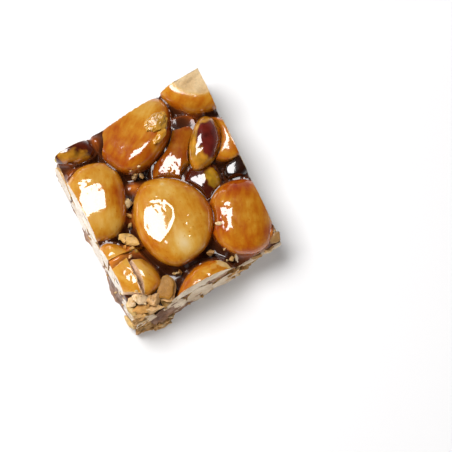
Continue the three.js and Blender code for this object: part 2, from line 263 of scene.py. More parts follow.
class Nut:
    """A sphere drawn out to four quarter radii on a superellipse outline and profile, as in the solids.

    boxy is the power of the outline, flat that of the profile and rise half the thickness. apex is how far
    the highest point moves, and lean (compass angle, degrees) tips the nut.
    """

    def __init__(self, name, at, turn, boxy, rise, radii, lean=None, flat=2, apex=(0, 0)):
        self.name, self.at, self.boxy, self.rise = name, np.array(at, float), boxy, rise
        self.ahead, self.behind, self.left, self.right = radii
        self.turn, self.flat, self.apex = turn, flat, np.array(apex)
        self.spin = turn_z(turn)
        if lean:
            toward, by = lean
            self.spin = turn_z(toward) @ turn_y(by) @ turn_z(-toward) @ self.spin

    def shape(self, ball, ragged=None):
        """Points of the nut, its normals and its own lengthways, crossways and upward places."""
        flat = np.hypot(ball[:, 0], ball[:, 1])
        cosine = np.divide(ball[:, 0], flat, out=np.ones_like(flat), where=flat > 0)
        sine = np.divide(ball[:, 1], flat, out=np.zeros_like(flat), where=flat > 0)
        power, profile = 2 / self.boxy, 2 / self.flat
        length = np.where(cosine > 0, self.ahead, self.behind)
        width = np.where(sine > 0, self.left, self.right)
        own = np.stack([
            flat ** profile * length * np.sign(cosine) * np.abs(cosine) ** power,
            flat ** profile * width * np.sign(sine) * np.abs(sine) ** power,
            np.sign(ball[:, 2]) * np.abs(ball[:, 2]) ** profile * self.rise,
        ], -1)
        if ragged is not None:
            own = own * ragged[:, None]
        normal = own / np.stack([length, width, np.full_like(length, self.rise)], -1) ** 2
        normal /= np.linalg.norm(normal, axis=1, keepdims=True) + TINY
        return own @ self.spin.T + self.at, normal @ self.spin.T, own

    def away(self, x, y):
        """Distance outside the outline seen from above, negative within it."""
        dx, dy = x - self.at[0], y - self.at[1]
        a = radians(self.turn)
        u, v = dx * cos(a) + dy * sin(a), dy * cos(a) - dx * sin(a)
        u = u / np.where(u > 0, self.ahead, self.behind)
        v = v / np.where(v > 0, self.left, self.right)
        reach = (np.abs(u) ** self.boxy + np.abs(v) ** self.boxy) ** (1 / self.boxy) + 1e-6
        return np.hypot(dx, dy) * (1 - 1 / reach)


# Nuts on top. Each lies over those after it.
TOP_NUTS = {nut.name: nut for nut in (
    Nut("almond_centre", (-4.2, -5.3, 9.8), 81, 1.9, 4.2, (12.4, 10.8, 7, 11.8),
        flat=2.25, apex=(-0.7, -0.8)),
    Nut("pistachio_right", (13.9, 7.9, 10.4), 48, 2, 3.5, (6.6, 7.4, 2.9, 4.6)),
    Nut("almond_back", (2.4, 17.3, 9), 34, 1.9, 4.2, (10.5, 10.2, 12.5, 6.8),
        lean=(108, 20), flat=3, apex=(0, -0.5)),
    Nut("almond_left", (-14.9, 8.4, 9.5), 65, 2.5, 4, (9.9, 9.7, 7.9, 6.7), flat=2.3, apex=(1, -0.2)),
    Nut("almond_back_right", (20.5, 22.9, 9.4), 27, 2.2, 4.3, (9.5, 8.6, 9, 9.2)),
    Nut("almond_front_right", (13.2, -13.2, 9.5), 65, 2.3, 4.1, (9.4, 9.6, 8.7, 6.6), apex=(-1.6, -0.6)),
    Nut("almond_front", (-3.7, -23.6, 8.8), 201, 2, 3.9, (9.4, 7.8, 6, 5.7), apex=(-1.5, 0)),
    Nut("pistachio_back_left", (-13.1, 22.4, 9.4), 158, 2, 3.3, (5.9, 5.8, 3.2, 3.1), lean=(-21, 12)),
    Nut("almond_right", (17.5, 6.5, 9), 95, 2.1, 3.8, (6.3, 6.1, 4.7, 4.6), flat=3.2, apex=(1.3, -1.4)),
    Nut("pistachio_middle", (9.5, -0.6, 8.9), 62, 1.8, 3, (5, 4.9, 5.2, 4)),
    Nut("almond_sunk", (7.1, 6.4, 8), 49, 2.1, 4, (11.8, 9.6, 7.2, 3.4),
        lean=(50, 4), flat=2.2, apex=(-0.6, -1)),
    Nut("pistachio_edge", (17.7, -2.4, 8.8), 102, 2.2, 3.2, (2.8, 2.6, 3.5, 4.5),
        flat=3.2, apex=(-0.5, 0.2)),
)}


def split_nut(lean):
    return Nut("almond_split", (-16.7, -9.1, 9.3), 113, 2.5, 4, (8.7, 8.9, 7, 3.6),
               lean=lean, apex=(-0.5, -1.2))


# One almond cracked into three: how each piece tipped, the planes of the groove that the glaze ran into,
# and those of its open breaks
SPLIT_PIECES = {
    "almond_split_back": ((100, 3), [((-18, -6.4), -97)], []),
    "almond_split_outer": (
        (140, 24), [((-18, -6.95), 83)], [((-17.1, -13.3), -8), ((-20.2, -15.5), -131)]),
    "almond_split_inner": ((165, 14), [], [((-15, -9), 78), ((-16.5, -13.3, 12.2), 172, 30)]),
}
SPLIT_SEED = 30
ALL_NUTS = [*TOP_NUTS.values(), split_nut(None)]
BROKEN_TIP = ((18.8, 19.6, 12.8), 38, 84)
HALF_NUT_UNDERSIDE = 8.6

# Finish of each nut. glaze is its thickness, rim what the rim adds and places (x, y, radius, change) where it
# differs. ridges (x, y, compass angle, half length, width, height) crease the top, crinkles (x, y, radius,
# height) wrinkle the glaze, beads (x, y, radius) stand on it and folds are lines along which it gathered.
# tone darkens the flesh, raw (x, y, radius, share) is where the glaze came off and broken has the
# colours of breaks. skin has a pistachio's colours within and outside its outline.
FINISH = {
    "almond_centre": dict(
        glaze=0.95, rim=0.8,
        places=((-3.4, -12.2, 3.4, -0.98), (1.5, -6.5, 4, -0.15), (0.8, 2.6, 3.4, -0.6),
                (0.2, 3.6, 0.7, -0.6), (-6.6, -11.4, 3, 0.3), (-10.2, -9.2, 2.6, 0.5)),
        beads=((2.2, -6.4, 0.35), (1.1, -9.5, 0.4), (2.7, -8.1, 0.3), (-0.3, -11, 0.35),
               (0.8, -7.9, 0.25), (-0.1, 3.8, 0.8)),
        crinkles=((-2.5, -0.3, 2.3, 0.16),),
        folds=(((-3.1, 1.4), (-0.8, 0.2), (0.1, -2.8), (-1.1, -5.3), (-3.9, -7.3), (-7.1, -8.4),
                (-8.1, -6.7)),
               ((-6, 0.6), (-7.3, -1), (-8.5, -3.2), (-8.6, -5.5)))),
    "pistachio_right": dict(
        glaze=0.35, rim=0.5, crinkles=((13, 6, 3, 0.09),), skin=(PISTACHIO_SKIN, PISTACHIO_OLIVE),
        outline=((15.6, 11.9), (18.3, 11), (18.6, 7.4), (17, 4.2), (14.3, 2.8), (12.6, 4.6), (12.7, 8))),
    "almond_back": dict(
        # The thinner glaze at (7, 22.5) is painted sheen: paler where light glances off the back of this
        # almond.
        glaze=1.7, rim=0.35, tone=0.9, places=((-5, 17, 5, 0.3), (9, 15, 4, 0.5), (7, 22.5, 5, -1)),
        ridges=((1.2, 13.6, 4, 5, 1.4, 0.3),), crinkles=((-1, 13.5, 4, 0.06),)),
    "almond_left": dict(
        glaze=0.85, rim=0.7, tone=0.93, places=((-9.8, 6, 3.4, 1.3), (-15, 2, 4, -0.35), (-9.5, 2, 3, 0.3)),
        ridges=((-14.2, 6.6, 59, 4.5, 2.6, 0.4),), crinkles=((-17, 12, 3.4, 0.11),)),
    "almond_back_right": dict(glaze=1.2, rim=0.7),
    "almond_front_right": dict(
        glaze=1.55, rim=0.7, tone=0.94, places=((16, -12, 4, -0.35), (6.5, -12, 3, 0.7), (15, -7.4, 2.8, 1)),
        ridges=((10.6, -12.8, 57, 6, 2.6, 0.42),), beads=((13.2, -6.3, 0.7),),
        crinkles=((9.6, -10.6, 4, 0.16),)),
    "almond_front": dict(
        glaze=1.5, rim=0.8, places=((-1.9, -20.8, 1.7, -0.7),), crinkles=((-1.5, -20.5, 3, 0.14),),
        raw=((0.2, -20.3, 1.1, 0.5), (2.2, -20.4, 1.8, 0.95), (3.7, -21.2, 1.9, 0.95),
             (4.6, -22.3, 1.2, 0.95))),
    "pistachio_back_left": dict(
        glaze=0.5, rim=0.5, crinkles=((-12, 21, 4, 0.08),), skin=(PISTACHIO_OLIVE, PISTACHIO_BROWN),
        outline=((-16.7, 23.4), (-13.2, 22.5), (-10.3, 19), (-10.2, 17.6), (-14, 18.7), (-17.1, 21.2))),
    "almond_right": dict(glaze=1.5, rim=0.6, tone=0.94),
    "almond_sunk": dict(
        glaze=1.9, rim=0.4, tone=0.68, places=((7.5, 9.1, 3, 0.35),),
        ridges=((4.9, 4.9, 17, 2.5, 0.8, -0.25), (8.3, 7.5, 57, 3, 0.9, 0.2)),
        crinkles=((5, 4.5, 4, 0.16), (5, 7.6, 2.8, 0.2)), folds=(((-0.8, 6.7), (3.1, 8.5), (6.8, 10.4)),)),
    "pistachio_middle": dict(
        glaze=0.4, rim=0.5, crinkles=((8, 0, 4, 0.08),), skin=(PISTACHIO_GREEN, PISTACHIO_BROWN),
        outline=((9.2, -0.6), (11.4, 0.9), (13.3, 0.3), (13.2, -2), (11.4, -4), (9.9, -2.9))),
    "pistachio_edge": dict(
        glaze=0.8, rim=0.6, skin=(PISTACHIO_DARK, PISTACHIO_BROWN),
        outline=((13, -6), (21, -6), (21, 2), (13, 2))),
    "almond_split": dict(
        glaze=0.85, rim=0.6, places=((-19.5, -11.5, 3, 0.2), (-14.4, -13, 2.4, -0.35)),
        broken=BREAK, ridges=((-14, -10.9, 80, 4, 0.9, 0.24),),
        crinkles=((-18.5, -12.5, 3, 0.12), (-18.8, -4, 2.5, 0.12))),
}

# Noise in the materials: scale for each millimetre, detail and roughness
TEXTURES = {
    "streak": (0.9, 4, 0.55),
    "blotch": (0.32, 3, 0.55),
    "speck": (1.9, 1, 0.55),
    "mottle": (1.6, 5, 0.65),
    "ripple": (1.1, 2, 0.55),
    "crumble": (2.6, 5, 0.7),
}
STREAK_STRETCH = (0.26, 1, 1)
# The part of the noise that is spread out, and what it becomes
MIDDLE = (0.3, 0.7)
BLOTCH = (*MIDDLE, 0.7, 1.3)
SPECK = (0.7, 0.75, 0, 0.8)
MOTTLE = (0.25, 0.75, 0.78, 1.16)
# Roughness from glazed to bare
BARE_ROUGHNESS = (0, 1, 0.24, 0.62)
COAT = {"Coat IOR": 1.7, "Specular IOR Level": 0.2, "IOR": 1.45}
BARE_BUMP = 2.4
BUMP = {"Distance": 0.1 * MM, "Strength": 0.7}


def fill(sockets, values):
    for key, value in values.items():
        sockets[key].default_value = value


class Shading:
    """Makes and links the nodes of a material or a world."""

    def __init__(self, made, shader="Principled BSDF"):
        made.use_nodes = True
        self.nodes, self.links = made.node_tree.nodes, made.node_tree.links
        self.shader = self.nodes[shader].inputs

    def node(self, kind, **settings):
        new = self.nodes.new("ShaderNode" + kind)
        for key, value in settings.items():
            setattr(new, key, value)
        return new

    def put(self, value, socket):
        if isinstance(value, (int, float)):
            socket.default_value = value
        else:
            self.links.new(value, socket)

    def calculate(self, operation, first, second, clamp=False):
        new = self.node("Math", operation=operation, use_clamp=clamp)
        self.put(first, new.inputs[0])
        self.put(second, new.inputs[1])
        return new.outputs[0]

    def product(self, first, *others):
        for other in others:
            first = self.calculate("MULTIPLY", first, other)
        return first

    def texture(self, vector, kind):
        new = self.node("TexNoise")
        fill(new.inputs, dict(zip(("Scale", "Detail", "Roughness"), TEXTURES[kind])))
        self.put(vector, new.inputs["Vector"])
        return new.outputs[0]

    def spread(self, value, low, high, to_low, to_high, **settings):
        new = self.node("MapRange", **settings)
        fill(new.inputs, {1: low, 2: high, 3: to_low, 4: to_high})
        self.put(value, new.inputs[0])
        return new.outputs[0]

    def colour(self, channels):
        new = self.node("CombineColor")
        for value, socket in zip(channels, new.inputs):
            self.put(value, socket)
        return new.outputs[0]

    def times(self, first, second, share):
        new = self.node("Mix", data_type="RGBA", blend_type="MULTIPLY")
        for key, value in (("A", first), ("B", second), ("Factor", share)):
            self.put(value, new.inputs[key])
        return new.outputs["Result"]


def material(name, bump, coat_roughness, streaks, gloss=1):
    """Flesh colour seen through the glaze, and bare flesh where the knife went."""
    made = bpy.data.materials.new(name)
    look = Shading(made)
    shader = look.shader
    flesh, glaze, bare, grain = (
        look.node("Attribute", attribute_name=key).outputs for key in ("flesh", "glaze", "bare", "grain"))
    place, bare = grain["Vector"], bare["Fac"]
    stretched = look.node("Mapping")
    fill(stretched.inputs, {"Scale": STREAK_STRETCH})
    look.put(place, stretched.inputs["Vector"])

    streak = look.spread(look.texture(stretched.outputs[0], "streak"), *MIDDLE, 1 - streaks, 1 + streaks)
    blotch = look.spread(look.texture(place, "blotch"), *BLOTCH)
    speck = look.spread(look.texture(place, "speck"), *SPECK)
    covered = look.calculate("SUBTRACT", 1, bare, clamp=True)
    thickness = look.product(glaze["Fac"], streak, blotch)
    thickness = look.calculate("ADD", thickness, look.product(speck, covered))
    through = look.colour([
        look.calculate("ADD", look.calculate("POWER", clear, thickness), DEEPEST_GAIN * least)
        for clear, least in zip(GLAZE_CLEAR, paint(DEEPEST))])
    mottle = look.spread(look.texture(place, "mottle"), *MOTTLE)
    shown = look.times(look.times(flesh["Color"], through, 1), look.colour([mottle] * 3), bare)
    look.put(shown, shader["Base Color"])
    look.put(look.spread(bare, *BARE_ROUGHNESS), shader["Roughness"])
    look.put(look.product(covered, gloss), shader["Coat Weight"])
    fill(shader, {**COAT, "Coat Roughness": coat_roughness})

    ripples = look.product(look.texture(place, "ripple"), covered, bump)
    crumbs = look.product(look.texture(place, "crumble"), look.product(bare, BARE_BUMP))
    relief = look.node("Bump")
    fill(relief.inputs, BUMP)
    look.put(look.calculate("ADD", ripples, crumbs), relief.inputs["Height"])
    for key in ("Normal", "Coat Normal"):
        look.put(relief.outputs[0], shader[key])
    return made


LOOKS = {
    "glazed_almond": material("glazed_almond", bump=0.25, coat_roughness=0.03, streaks=0.24),
    "glazed_pistachio": material("glazed_pistachio", bump=0.35, coat_roughness=0.04, streaks=0.3),
    "cut_nut": material("cut_nut", bump=0.3, coat_roughness=0.1, streaks=0.2),
    "caramel": material("caramel", bump=0.35, coat_roughness=0.03, streaks=0.1, gloss=0.42),
}

# Building of pieces
LAYER_KINDS = {"flesh": ("FLOAT_COLOR", "color"), "grain": ("FLOAT_VECTOR", "vector")}
SHARP_ANGLE = 50
CHIP_SHARP_ANGLE = 35
# Points of what has been built so far
SURFACES = []


def add(name, data):
    made = bpy.data.objects.new(name, data)
    bpy.context.scene.collection.objects.link(made)
    return made


def build(name, points, faces, slot, nodes=(), sharp=SHARP_ANGLE, **layers):
    """Makes a piece that rides the slab. layers are values for each point that its material reads."""
    SURFACES.append(points)
    mesh = bpy.data.meshes.new(name)
    mesh.from_pydata(((points + SHIFT) * MM).tolist(), [], [list(face) for face in faces])
    for key, values in layers.items():
        kind, part = LAYER_KINDS.get(key, ("FLOAT", "value"))
        if key == "flesh":
            values = np.concatenate([values, np.ones((len(values), 1))], 1)
        layer = mesh.attributes.new(key, kind, "POINT")
        layer.data.foreach_set(part, np.ascontiguousarray(values, np.float32).ravel())
    mesh.materials.append(LOOKS[slot])
    mesh.shade_smooth()
    mesh.set_sharp_from_angle(angle=radians(sharp))
    made = add(name, mesh)
    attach(made, "root")
    if nodes:
        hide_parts(*nodes)


# Cuts
TRIM_ROUNDS = 3
EDGE_SHARPNESS = 2.5
MOST_EXPONENT = 40
GROOVE_SOFTNESS = 0.5
BREAK_SOFTNESS = 0.2
CUT_SOFTNESS = 0.12
SIDE_NUT_SOFTNESS = 0.1
# How near a plane a point counts as lying on it
ON_PLANE = 0.05
CRACK_WIDTH = 0.08
CRACK_DEPTH = 0.22
# Drag lines run along the cut, so their noise is drawn out sideways
DRAG = (0.3, 0.3, 1.6)
HOLLOW_DEPTH = 0.4
KNIFE_DEPTH = 0.12
KNIFE_SEED = 200
# Distances from the left side's plane between which its paler colour of painted light and sheen begins
LEFT_LIGHT_FROM, LEFT_LIGHT_TO = -0.6, -0.2


def trim(points, bare, planes, softness):
    """Presses what lies beyond each plane back onto it, with a soft edge, and marks it as cut."""
    for origin, normal in planes:
        beyond = (points - origin) @ normal
        kept = -softness * np.logaddexp(0, -beyond / softness)
        points = points + (kept - beyond)[:, None] * normal
        steep = np.clip(-EDGE_SHARPNESS * beyond / softness, -MOST_EXPONENT, MOST_EXPONENT)
        bare = np.maximum(bare, 1 / (1 + np.exp(steep)))
    for origin, normal in list(planes) * TRIM_ROUNDS:
        points = points - np.clip((points - origin) @ normal, 0, None)[:, None] * normal
    return points, bare


def on_plane(points, share, origin, normal):
    """A share for each point, kept only on a plane."""
    return share * (np.abs((points - origin) @ normal) < ON_PLANE)


def fracture(points, seed):
    """Relief of a broken face: small steps and a few cracks."""
    cracks = np.exp(-(waves(points, "break_cracks", seed) / CRACK_WIDTH) ** 2)
    return waves(points, "break_steps", seed) - CRACK_DEPTH * cracks


def knife_marks(points, seed):
    """Relief of a cut face: drag lines along the cut and crumbled hollows."""
    hollows = np.minimum(0, waves(points, "knife_hollows", seed))
    return waves(points * DRAG, "knife_lines", seed) + HOLLOW_DEPTH * hollows - KNIFE_DEPTH


def cut_colour(name, points, tone):
    """Flesh where the knife went: paler on the left side with painted light and sheen, green in a pistachio.
    """
    if name.startswith("pistachio"):
        return shaded(PISTACHIO_CUT, tone)
    origin, normal = SIDE_PLANES["left"]
    left_light = smoothstep(LEFT_LIGHT_FROM, LEFT_LIGHT_TO, (points - origin) @ normal)
    return blend(shaded(CUT, tone), shaded(LEFT_CUT_PAINTED_LIGHT, tone), left_light)


# Nuts on top
FOLD_HEIGHT = 0.1
FOLD_WIDTH = 0.3
BEAD_HEIGHT = 0.12
RIM_POWER = 6
LEAST_GLAZE = 0.05
BARE_GLAZE = 0.02
RAW_EDGE = 0.35
SKIN_EDGE = 0.5
SKIN_MOTTLE_LIMITS = (0.5, 1.3)
# Under another nut, a nut reaches this far above the other's middle, and higher by this slope outside the
# other's outline. It is lowered by this share of its rise below its own middle at most.
SQUEEZE_GAP = 0.2
SQUEEZE_SLOPE = 3
SQUEEZE_LEAST = 0.5
# Nuts with a shorter half length than this have fewer faces
SMALL_NUT = 8


def from_line(points, line):
    """Distance from a line of corners seen from above."""
    x, y = points[:, 0], points[:, 1]
    nearest = np.full(len(x), np.inf)
    for (ax, ay), (bx, by) in zip(line, line[1:]):
        along = ((x - ax) * (bx - ax) + (y - ay) * (by - ay)) / ((bx - ax) ** 2 + (by - ay) ** 2)
        along = np.clip(along, 0, 1)
        nearest = np.minimum(nearest, np.hypot(x - ax - along * (bx - ax), y - ay - along * (by - ay)))
    return nearest


def within(points, outline):
    """Distance inside a closed outline seen from above, negative outside it."""
    x, y = points[:, 0], points[:, 1]
    crossings = np.zeros(len(x), int)
    for (ax, ay), (bx, by) in zip(outline, outline[1:] + outline[:1]):
        crossings += ((ay > y) != (by > y)) & (x < ax + (y - ay) / (by - ay + TINY) * (bx - ax))
    distance = from_line(points, outline + outline[:1])
    return np.where(crossings % 2, distance, -distance)


def glaze_of(finish, points, ball):
    thick = finish["glaze"] + finish["rim"] * np.hypot(ball[:, 0], ball[:, 1]) ** RIM_POWER
    for x, y, radius, change in finish.get("places", ()):
        thick = thick + change * spot(points, x, y, radius)
    return np.clip(thick, LEAST_GLAZE, None)


def raw_of(finish, points, seed):
    """Where the glaze came off."""
    bare = np.zeros(len(points))
    for x, y, radius, share in finish.get("raw", ()):
        from_middle = np.hypot(points[:, 0] - x, points[:, 1] - y) / radius
        inside = 1 - from_middle + waves(points, "raw_edge", seed)
        bare = np.maximum(bare, share * smoothstep(0, RAW_EDGE, inside))
    return bare


def flesh_of(finish, points):
    """Colour under the glaze: an almond's flesh, or a pistachio's skin and flank."""
    if "skin" not in finish:
        return finish.get("tone", 1) * shaded((ALMOND, CREAM), tone_of(points, "almond_tone"))
    skin, flank = finish["skin"]
    inside = within(points, finish["outline"]) + waves(points, "skin_edge")
    mottled = np.clip(waves(points, "skin_mottle"), *SKIN_MOTTLE_LIMITS)
    return shaded((flank, skin), smoothstep(-SKIN_EDGE, SKIN_EDGE, inside)) * mottled[:, None]


def uneven(nut, finish, points, normals, seed):
    """Lumps, creases and wrinkles of the glaze."""
    height = sum(waves(points, kind, seed) for kind in ("glaze_lumps", "glaze_dents", "glaze_ripples"))
    for x, y, facing, half_length, width, rise in finish.get("ridges", ()):
        a = radians(facing)
        along = (points[:, 0] - x) * cos(a) + (points[:, 1] - y) * sin(a)
        across = (points[:, 1] - y) * cos(a) - (points[:, 0] - x) * sin(a)
        height = height + rise * np.exp(-(along / half_length) ** 2 - (across / width) ** 2)
    for x, y, radius, rise in finish.get("crinkles", ()):
        height = height + rise * spot(points, x, y, radius) * waves(points, "glaze_wrinkles", seed)
    for x, y, radius in finish.get("beads", ()):
        height = height + BEAD_HEIGHT * spot(points, x, y, radius)
    for line in finish.get("folds", ()):
        height = height + FOLD_HEIGHT * np.exp(-(from_line(points, line) / FOLD_WIDTH) ** 2)
    lift = np.clip((points[:, 2] - nut.at[2]) / nut.rise, 0, 1)
    moved = points + normals * height[:, None]
    moved[:, :2] += lift[:, None] * nut.apex
    return moved


def squeeze(nut, points, over):
    """Lowers the top of a nut where another one lies over it."""
    z = points[:, 2]
    least = nut.at[2] - SQUEEZE_LEAST * nut.rise
    for other in over:
        limit = other.at[2] + SQUEEZE_GAP + SQUEEZE_SLOPE * other.away(*points[:, :2].T)
        z = np.where(z > least, np.minimum(z, np.maximum(limit, least)), z)
    return np.column_stack([points[:, :2], z])


def glazed(name, nut, ball_and_faces, over, seed, breaks=(), grooves=()):
    """A nut under its glaze, cut off at the sides of the slab and bare at its cuts and breaks."""
    ball, faces = ball_and_faces
    finish = FINISH[nut.name]
    points, normals, own = nut.shape(ball)
    points = uneven(nut, finish, points, normals, seed)
    thick = glaze_of(finish, points, ball)
    flesh = flesh_of(finish, points)
    points = squeeze(nut, points, over)
    points, _ = trim(points, np.zeros(len(points)), grooves, GROOVE_SOFTNESS)
    points, bare = trim(points, raw_of(finish, points, seed), breaks, BREAK_SOFTNESS)
    for plane in breaks:
        broken = on_plane(points, bare, *plane)
        points = points + np.outer(broken * fracture(points, seed), plane[1])
    points, cut = trim(points, np.zeros(len(points)), SIDE_PLANES.values(), CUT_SOFTNESS)
    bare = np.maximum(bare, cut)
    outward = sum(np.outer(on_plane(points, cut, *plane), plane[1]) for plane in SIDE_PLANES.values())
    points = points + outward * knife_marks(points, KNIFE_SEED + seed)[:, None]
    tone = tone_of(points, "cut_tone", seed)
    shown = blend(flesh, shaded(finish.get("broken", RAW), tone), bare)
    shown = blend(shown, cut_colour(nut.name, points, tone), cut)
    slot = "glazed_almond" if nut.name.startswith("almond") else "glazed_pistachio"
    build(name, points, faces, slot, nodes=(name,), flesh=shown,
          glaze=thick * (1 - bare) + BARE_GLAZE, bare=bare, grain=own)


def top_nuts():
    breaks = {
        "almond_back_right": [tilted_plane(*BROKEN_TIP)],
        "almond_front": [(np.array([0, 0, HALF_NUT_UNDERSIDE]), np.array([0, 0, -1.0]))],
    }
    over = []
    for seed, (name, nut) in enumerate(TOP_NUTS.items()):
        ball = SMALL_BALL if max(nut.ahead, nut.behind) < SMALL_NUT else FINE_BALL
        if name == "almond_centre":
            ball = FINEST_BALL
        glazed(name, nut, ball, over, seed, breaks.get(name, ()))
        over = over + [nut]
    for name, (lean, grooves, cuts) in SPLIT_PIECES.items():
        grooves = [tilted_plane(*groove) for groove in grooves]
        cuts = [tilted_plane(*cut) for cut in cuts]
        glazed(name, split_nut(lean), FINE_BALL, over, SPLIT_SEED, cuts, grooves)


# Lower nuts: distance along the side from its middle, height, half length, half height and lean of the cut
SIDE_NUTS = {
    "front": ((-17.6, 5.1, 2.8, 4), (-9.8, 5, 3.3, 3.7), (-2.9, 4.6, 3.5, 4),
              (4.2, 3.7, 3.7, 2.7), (11.6, 8, 3.6, 2.8, 40), (17.4, 8.2, 3.2, 3, 35)),
    "right": ((-15.4, 4.4, 4.2, 3.4), (-6.4, 4, 4.5, 3.1), (2.4, 4.6, 4.1, 3.6),
              (10.9, 3.9, 4.2, 3), (18.7, 4.1, 3.5, 3.1)),
    "back": ((-15.4, 4.1, 4.4, 3.2), (-6.2, 3.9, 4.6, 3), (3.6, 4.2, 4.9, 3.3),
             (13.6, 4.4, 4.8, 3.4)),
    "left": ((-17.8, 4.3, 4.3, 3.4), (-8.8, 3.9, 4.5, 2.9), (0.4, 4.2, 4.6, 3.3),
             (9.6, 3.9, 4.4, 3), (18.2, 4.6, 4, 3.6)),
}
SIDE_NUT_DEPTH = 6.5
SIDE_NUT_INSET = 1.2
SIDE_NUT_BOXY = 2.3
SIDE_NUT_GLAZE = 0.3
SIDE_NUT_BARE = 0.7
SIDE_NUT_SEED = 100
SEEDS_A_SIDE = 10


def side_nut(side, number, place, height, half_length, half_height, lean=0):
    """A lower nut that the cut laid open."""
    _, along, outward, middle = side_frame(side)
    at = (*(middle + along * place - outward * SIDE_NUT_INSET), height)
    name = f"{side}_nut_{number}"
    nut = Nut(name, at, compass(along), SIDE_NUT_BOXY, half_height,
              (half_length, half_length, SIDE_NUT_DEPTH, SIDE_NUT_DEPTH))
    seed = SIDE_NUT_SEED + SEEDS_A_SIDE * SIDES.index(side) + number - 1
    ball, faces = COARSE_BALL
    points, _, _ = nut.shape(ball, waves(ball, "side_nut_size", seed))
    planes = list(SIDE_PLANES.values())
    if lean:
        planes.append(tilted_plane(at, compass(outward), lean))
    points, bare = trim(points, np.zeros(len(points)), planes, SIDE_NUT_SOFTNESS)
    points = points + np.array([*outward, 0]) * (bare * knife_marks(points, seed))[:, None]
    points[:, 2] = np.maximum(points[:, 2], ABOVE_FLOOR)
    flesh = blend(paint(TAN), cut_colour(name, points, tone_of(points, "side_nut_tone", seed)), bare)
    build(name, points, faces, "cut_nut", nodes=(name,), flesh=flesh,
          glaze=SIDE_NUT_GLAZE * (1 - bare) + BARE_GLAZE,
          bare=SIDE_NUT_BARE + (1 - SIDE_NUT_BARE) * bare, grain=points)


def side_nuts():
    for side in SIDES:
        for number, row in enumerate(SIDE_NUTS[side], 1):
            side_nut(side, number, *row)


# Caramel
CARAMEL_LEVEL = 7.8
CARAMEL_STEPS = (172, 180)
WALL_STEPS = 40
WALL_INSET = 0.5
# Rings that close the underside, as shares of its outline
UNDERSIDE_RINGS = tuple(np.linspace(0.93, 0.03, 14))
MENISCUS_HEIGHT = 2.3
MENISCUS_REACH = 0.9
# Where caramel stands out of a side: side, distance along it from its middle, width, depth and height
BULGES = (
    ("front", -14, 5, 1.4, 9),
    ("left", -4.5, 2.6, 0.9, 8),
    ("left", 11.5, 4, 1.1, 8),
)
# Where the front side is hollow below, from one x to another
UNDERCUT = {"from": 5, "to": 14, "depth": 3, "height": 7}
# Rises and dips of the caramel: middle, radius, height and how much clearer it is there
HUMPS = (
    ((-16.7, 18.6), 2.4, 1.1, 0.45),
    ((-5.7, 7.3), 1.7, 1.6, 0.9),
    ((-13.9, -6.9), 2.2, 2.2, 0.7),
    ((-7.4, 21.6), 2.2, 1.9, 0.5),
    ((-20.5, -20.8), 4, -1.4, 0),
    ((11, -21.6), 4.5, -0.9, 0.35),
    ((-17.6, -7), 1.9, 2.6, 1.4),
    ((-20.2, -7), 1.9, 2.4, 1.4),
    ((11.5, 16.6), 2.4, 0.4, 0.2),
    ((14.9, 14.2), 2.2, -0.4, 0.3),
    ((15.9, -20.3), 1.3, 0.4, 0.7),
    ((-9.9, 0.3), 2.2, 0.2, 0.55),
)
# How much clearer caramel is against a nut, and how far that reaches
NUT_CLEAR = 0.35
NUT_CLEAR_REACH = 0.5
FAR_FROM_NUTS = 9.0
WALL_BARE_LIMITS = (0.1, 0.9)
CARAMEL_GLAZE = 0.05


def caramel_height(plan):
    flat = np.column_stack([plan, np.zeros(len(plan))])
    level = CARAMEL_LEVEL
    for kind in ("caramel_swells", "caramel_dents", "caramel_ripples"):
        level = level + waves(flat, kind)
    for middle, radius, height, _ in HUMPS:
        level = level + height * spot(plan, *middle, radius)
    climb = np.zeros(len(plan))
    for nut in ALL_NUTS:
        away = np.clip(nut.away(*plan.T), 0, None)
        climb = np.maximum(climb, MENISCUS_HEIGHT * np.exp(-away / MENISCUS_REACH))
    return level + climb


def wall_offset(side, points):
    """How far the caramel's wall stands out from the line of a side."""
    x, _, z = points.T
    _, along, _, middle = side_frame(side)
    run = (points[:, :2] - middle) @ along
    offset = waves(points, "wall_crags")
    for bulge_side, at, width, depth, height in BULGES:
        if bulge_side == side:
            offset = offset + depth * np.exp(-((run - at) / width) ** 2) * np.clip(1 - z / height, 0, None)
    if side == "front":
        under = smoothstep(UNDERCUT["from"], UNDERCUT["to"], x)
        offset = offset - UNDERCUT["depth"] * under * np.clip(1 - z / UNDERCUT["height"], 0, None)
    return offset - WALL_INSET + (LEAN_HEIGHT - z) * tan(radians(SIDE_LEAN[side]))


def ring_quads(outer, inner):
    return np.stack([outer, inner, np.roll(inner, -1), np.roll(outer, -1)], -1)


def caramel_block():
    """Upright block below an uneven top: its points, faces, rows of the wall and the stretch of each side."""
    across, deep = CARAMEL_STEPS
    u, v = np.meshgrid(np.linspace(0, 1, across + 1), np.linspace(0, 1, deep + 1), indexing="ij")
    corner = {name: np.array(place) for name, place in CORNERS.items()}
    front = corner["front_left"] + u[..., None] * (corner["front_right"] - corner["front_left"])
    back = corner["back_left"] + u[..., None] * (corner["back_right"] - corner["back_left"])
    plan = (front + v[..., None] * (back - front)).reshape(-1, 2)
    level = caramel_height(plan)
    index = np.arange(len(plan)).reshape(across + 1, deep + 1)
    ring = np.concatenate([index[:-1, 0], index[-1, :-1], index[:0:-1, -1], index[0, :0:-1]])
    shares = [1 - step / WALL_STEPS for step in range(1, WALL_STEPS + 1)]
    walls = [np.column_stack([plan[ring], level[ring] * share]) for share in shares]
    rows = [ring] + [len(plan) + n * len(ring) + np.arange(len(ring)) for n in range(WALL_STEPS)]
    faces = [grid_quads(index)] + [ring_quads(upper, lower) for upper, lower in zip(rows, rows[1:])]
    ends = np.cumsum([0, across, deep, across, deep])
    stretches = [np.arange(first, last + 1) % len(ring) for first, last in zip(ends, ends[1:])]
    return np.concatenate([np.column_stack([plan, level]), *walls]), faces, rows, stretches


